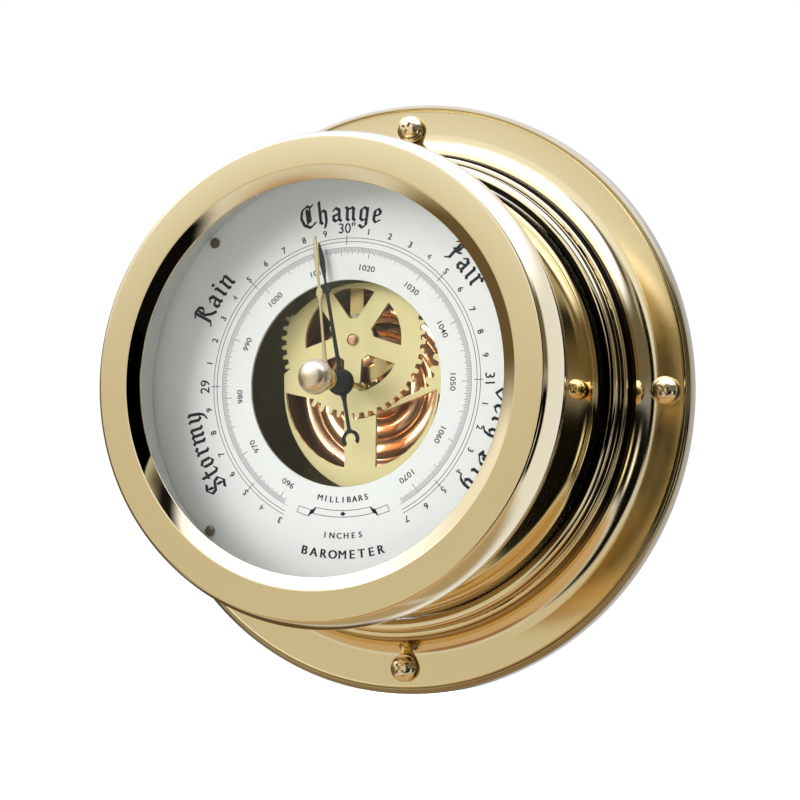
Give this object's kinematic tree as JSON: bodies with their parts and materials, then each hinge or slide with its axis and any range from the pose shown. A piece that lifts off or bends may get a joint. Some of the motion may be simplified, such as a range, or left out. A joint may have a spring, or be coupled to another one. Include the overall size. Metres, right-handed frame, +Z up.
{
  "type": "ship barometer",
  "caption": "Round flanged brass aneroid barometer with an open dial, indicator hand, settable brass hand and a visible capsule and lever movement.",
  "frame": {"origin": "centre of the case's back face, in the wall plane", "axes": "+Y points into the wall, -Y is the way the dial faces, +Z is up, +X is to a viewer's right"},
  "size_m": [0.152, 0.065, 0.152],
  "materials": {
    "polished_brass": "polished and lacquered, mirror bright",
    "brass": "plain machined",
    "gilt_plate": "stamped and gilt, satin",
    "blackened": "dark olive lacquer, satin",
    "copper": "pressed copper alloy, satin",
    "steel": "bright steel",
    "dial_white": "silvery white satin with black printing",
    "black_enamel": "black enamel",
    "clear_glass": "clear flat glass",
    "rubber": "matt black"
  },
  "bodies": {
    "case": {"case_drum": "polished_brass", "mounting_flange": "polished_brass", "flange_screw_right": "polished_brass", "flange_screw_top": "polished_brass", "flange_screw_left": "polished_brass", "flange_screw_bottom": "polished_brass", "bezel": "polished_brass", "glass": "clear_glass", "glass_gasket": "rubber", "spacer_ring": "dial_white", "dial": "dial_white", "dial_ring": "brass", "dial_screw_1": "brass", "dial_screw_2": "brass", "dial_screw_3": "brass", "dial_screw_4": "brass", "movement_base": "blackened", "base_post_1": "brass", "base_post_2": "brass", "base_post_3": "brass", "base_screw_1": "steel", "base_screw_2": "steel", "base_screw_3": "steel", "bridge_pillar_1": "brass", "bridge_pillar_2": "brass", "bridge_pillar_3": "brass", "bridge_screw_1": "steel", "bridge_screw_2": "steel", "bridge_screw_3": "steel", "bridge_plate": "gilt_plate", "wheel_rivet": "copper", "capsule_front_diaphragm": "copper", "capsule_rear_diaphragm": "copper", "capsule_spring": "steel", "capsule_stud": "brass", "regulating_bar": "steel", "bar_screw": "steel", "shaft_bracket_lower": "brass", "shaft_bracket_upper": "brass", "sector_cock": "brass", "sector_stud": "steel", "arbor_cock": "brass", "cock_post_left": "brass", "cock_post_right": "brass", "hairspring": "steel", "hairspring_stud": "brass", "set_hand_bush": "brass"},
    "needle": {"indicator_hand": "black_enamel", "hand_hub": "black_enamel", "hand_arbor": "brass"},
    "sector": {"sector": "brass", "sector_pin": "steel"},
    "link": {"link": "brass"},
    "rocker": {"rocking_shaft": "brass", "capsule_lever": "brass", "drive_arm": "brass"},
    "capsule_post": {"capsule_post": "brass"},
    "set_hand": {"set_hand": "brass", "set_knob": "polished_brass"},
    "adjuster": {"adjusting_screw": "brass"}
  },
  "joints": [
    {"name": "needle_turn", "type": "hinge", "parent": "case", "child": "needle", "pos_m": [0, 0, 0], "axis": [0, 1, 0], "range_deg": [-142.2, 163.8], "deforming": ["hairspring"]},
    {"name": "sector_turn", "type": "hinge", "parent": "case", "child": "sector", "pos_m": [-0.002, -0.0318, 0.0175], "axis": [0, 1, 0], "range_deg": [-9.5, 8.3]},
    {"name": "link_slide", "type": "slide", "parent": "case", "child": "link", "axis": [1, 0, 0], "range_m": [-0.0003, 0.00034]},
    {"name": "rocker_turn", "type": "hinge", "parent": "case", "child": "rocker", "pos_m": [-0.009, -0.0266, 0], "axis": [0, 0, 1], "range_deg": [-4.2, 4.8]},
    {"name": "capsule_travel", "type": "slide", "parent": "case", "child": "capsule_post", "axis": [0, 1, 0], "range_m": [-0.00066, 0.00076], "deforming": ["capsule_front_diaphragm", "capsule_spring"]},
    {"name": "set_hand_turn", "type": "hinge", "parent": "case", "child": "set_hand", "pos_m": [0, 0, 0], "axis": [0, 1, 0], "continuous": true},
    {"name": "adjuster_turn", "type": "hinge", "parent": "case", "child": "adjuster", "pos_m": [0, 0, -0.014], "axis": [0, 1, 0], "range_deg": [-360, 360]}
  ],
  "couplings": [
    {"joint": "sector_turn", "follows": "needle_turn", "ratio": -0.057143},
    {"joint": "link_slide", "follows": "needle_turn", "m_per_rad": 0.00011429},
    {"joint": "rocker_turn", "follows": "needle_turn", "ratio": 0.028571},
    {"joint": "capsule_travel", "follows": "needle_turn", "m_per_rad": 0.00025714}
  ]
}
